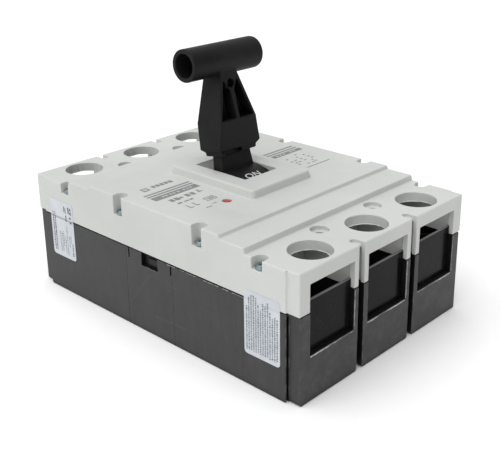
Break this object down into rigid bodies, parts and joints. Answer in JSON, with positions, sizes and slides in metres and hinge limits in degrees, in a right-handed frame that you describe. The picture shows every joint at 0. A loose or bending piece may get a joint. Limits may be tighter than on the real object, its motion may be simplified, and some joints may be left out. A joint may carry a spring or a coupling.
{
  "type": "molded case circuit breaker",
  "caption": "Three-pole molded case circuit breaker with dark base, light stepped cover, toggle in a raised collar and a slip-on T-shaped extension handle.",
  "frame": {"origin": "centre of the base's flat underside", "axes": "+X across the poles, from the left pole to the right; +Y along the poles towards the line end; +Z from the base up to the cover and the handle"},
  "size_m": [0.1822, 0.27, 0.1939],
  "materials": {
    "base_plastic": "fine matt moulded thermoset, dark grey",
    "cover_plastic": "satin moulded plastic, light warm grey",
    "handle_plastic": "satin moulded plastic, black",
    "insert_plastic": "glossy black sheet",
    "inner_plastic": "brown-black moulded thermoset",
    "button_plastic": "glossy red moulded plastic",
    "zinc": "blue zinc plated steel",
    "copper": "bare copper",
    "silvered_copper": "silver plated copper",
    "steel": "plain stamped steel",
    "label_paper": "satin white film label"
  },
  "bodies": {
    "breaker": {"base_housing": "base_plastic", "top_cover": "cover_plastic", "cover_screw_1": "zinc", "cover_screw_2": "zinc", "cover_screw_3": "zinc", "cover_screw_4": "zinc", "cover_screw_5": "zinc", "cover_screw_6": "zinc", "cover_screw_7": "zinc", "cover_screw_8": "zinc", "terminal_plate_line_a": "insert_plastic", "terminal_plate_line_b": "insert_plastic", "terminal_plate_line_c": "insert_plastic", "terminal_plate_load_a": "insert_plastic", "terminal_plate_load_b": "insert_plastic", "terminal_plate_load_c": "insert_plastic", "line_bar_a": "silvered_copper", "line_bar_b": "silvered_copper", "line_bar_c": "silvered_copper", "load_bar_a": "silvered_copper", "load_bar_b": "silvered_copper", "load_bar_c": "silvered_copper", "side_label_line": "label_paper", "side_label_load": "label_paper", "mechanism_plate_left": "steel", "mechanism_plate_right": "steel", "main_spring_left": "steel", "main_spring_right": "steel", "arc_chute_a": "steel", "arc_chute_b": "steel", "arc_chute_c": "steel", "flexible_braid_a": "copper", "flexible_braid_b": "copper", "flexible_braid_c": "copper", "magnet_yoke_a": "steel", "magnet_yoke_b": "steel", "magnet_yoke_c": "steel", "bimetal_a": "copper", "bimetal_b": "copper", "bimetal_c": "copper", "trip_bar_spring": "steel"},
    "toggle": {"toggle": "handle_plastic", "toggle_fork": "steel"},
    "handle": {"extension_handle": "handle_plastic"},
    "contact_shaft": {"contact_shaft": "inner_plastic", "moving_contact_a": "copper", "moving_contact_b": "copper", "moving_contact_c": "copper"},
    "drive_link": {"drive_link": "steel"},
    "cradle": {"latch_cradle": "steel"},
    "trip_button": {"trip_button": "button_plastic"},
    "trip_bar": {"trip_bar": "inner_plastic"},
    "armature_a": {"armature_a": "steel"},
    "armature_b": {"armature_b": "steel"},
    "armature_c": {"armature_c": "steel"}
  },
  "joints": [
    {"name": "toggle_hinge", "type": "hinge", "parent": "breaker", "child": "toggle", "pos_m": [0, 0, 0.061], "axis": [1, 0, 0], "range_deg": [-17.5, 29], "deforming": ["main_spring_left", "main_spring_right"]},
    {"name": "handle_pull", "type": "slide", "parent": "toggle", "child": "handle", "axis": [0, 0.1728, 0.985], "range_m": [0, 0.024]},
    {"name": "contact_shaft_turn", "type": "hinge", "parent": "breaker", "child": "contact_shaft", "pos_m": [0, 0.01, 0.036], "axis": [1, 0, 0], "range_deg": [-13.1, 21.7], "deforming": ["flexible_braid_a", "flexible_braid_b", "flexible_braid_c"]},
    {"name": "drive_link_turn", "type": "hinge", "parent": "contact_shaft", "child": "drive_link", "pos_m": [0, 0, 0.0459], "axis": [1, 0, 0], "range_deg": [-21.7, 13.1]},
    {"name": "cradle_turn", "type": "hinge", "parent": "breaker", "child": "cradle", "pos_m": [0, -0.026, 0.066], "axis": [1, 0, 0], "range_deg": [-2.8, 4.5]},
    {"name": "trip_button_press", "type": "slide", "parent": "breaker", "child": "trip_button", "axis": [0, 0, -1], "range_m": [0, 0.004], "stiffness_N_per_m": 250},
    {"name": "trip_bar_turn", "type": "hinge", "parent": "breaker", "child": "trip_bar", "pos_m": [0, -0.046, 0.066], "axis": [1, 0, 0], "range_deg": [-15.2, 0], "deforming": ["trip_bar_spring"]},
    {"name": "armature_a_hinge", "type": "hinge", "parent": "breaker", "child": "armature_a", "pos_m": [-0.058, -0.074, 0.061], "axis": [1, 0, 0], "range_deg": [-8, 0], "stiffness_Nm_per_rad": 0.006, "springref_deg": 28.65},
    {"name": "armature_b_hinge", "type": "hinge", "parent": "breaker", "child": "armature_b", "pos_m": [0, -0.074, 0.061], "axis": [1, 0, 0], "range_deg": [-8, 0], "stiffness_Nm_per_rad": 0.006, "springref_deg": 28.65},
    {"name": "armature_c_hinge", "type": "hinge", "parent": "breaker", "child": "armature_c", "pos_m": [0.058, -0.074, 0.061], "axis": [1, 0, 0], "range_deg": [-8, 0], "stiffness_Nm_per_rad": 0.006, "springref_deg": 28.65}
  ],
  "couplings": [
    {"joint": "contact_shaft_turn", "follows": "toggle_hinge", "ratio": 0.74286},
    {"joint": "drive_link_turn", "follows": "toggle_hinge", "ratio": -0.74286},
    {"joint": "cradle_turn", "follows": "toggle_hinge", "ratio": 0.15},
    {"joint": "trip_bar_turn", "follows": "trip_button_press", "rad_per_m": -65.45}
  ]
}
